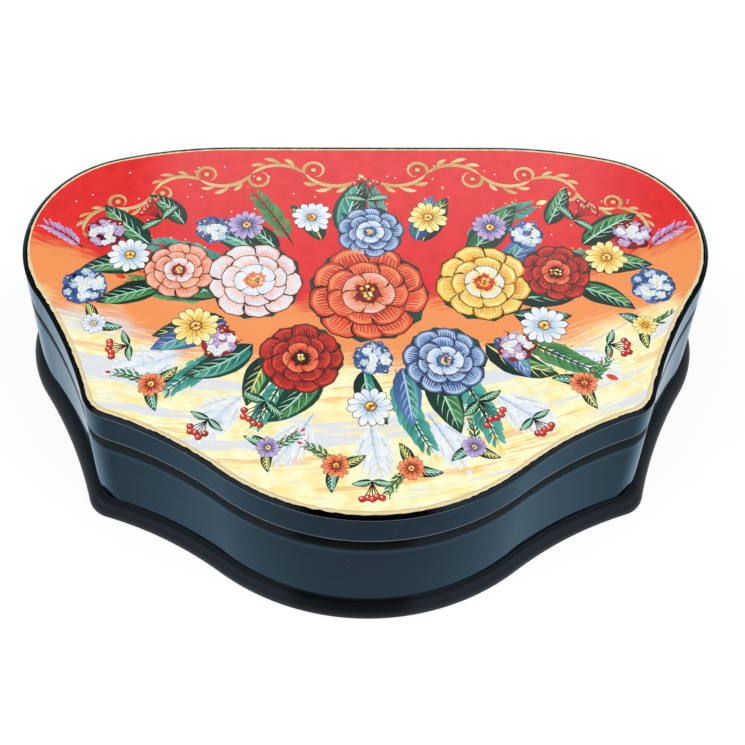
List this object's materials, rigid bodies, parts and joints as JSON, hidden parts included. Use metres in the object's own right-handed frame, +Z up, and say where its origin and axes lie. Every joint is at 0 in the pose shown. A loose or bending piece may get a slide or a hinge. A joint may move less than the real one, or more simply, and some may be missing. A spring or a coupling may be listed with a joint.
{
  "type": "lacquer box",
  "caption": "Hinged keepsake box of glossy black lacquered papier-mache with a scalloped outline, a plinth, a lipped body and a flat lid painted with flowers on red and gold.",
  "frame": {"origin": "middle of the footprint, on the table the box stands on", "axes": "+X along the long back edge to the right seen from the front, +Y to the back, where the hinge is, +Z up"},
  "size_m": [0.2158, 0.1448, 0.053],
  "materials": {
    "black_lacquer": "gloss",
    "red_lacquer": "gloss",
    "painted_lid": "gloss",
    "hinge_wire": "satin"
  },
  "bodies": {
    "box": {"plinth_board": "black_lacquer", "body_wall": "black_lacquer", "inner_collar": "red_lacquer", "body_knuckle_left": "black_lacquer", "body_knuckle_middle": "black_lacquer", "body_knuckle_right": "black_lacquer", "hinge_pin": "hinge_wire"},
    "lid": {"lid_rim": "black_lacquer", "lid_board": "painted_lid", "lid_knuckle_left": "black_lacquer", "lid_knuckle_right": "black_lacquer"}
  },
  "joints": [
    {"name": "lid_hinge", "type": "hinge", "parent": "box", "child": "lid", "pos_m": [0, 0.06735, 0.04055], "axis": [-1, 0, 0], "range_deg": [0, 100]}
  ]
}
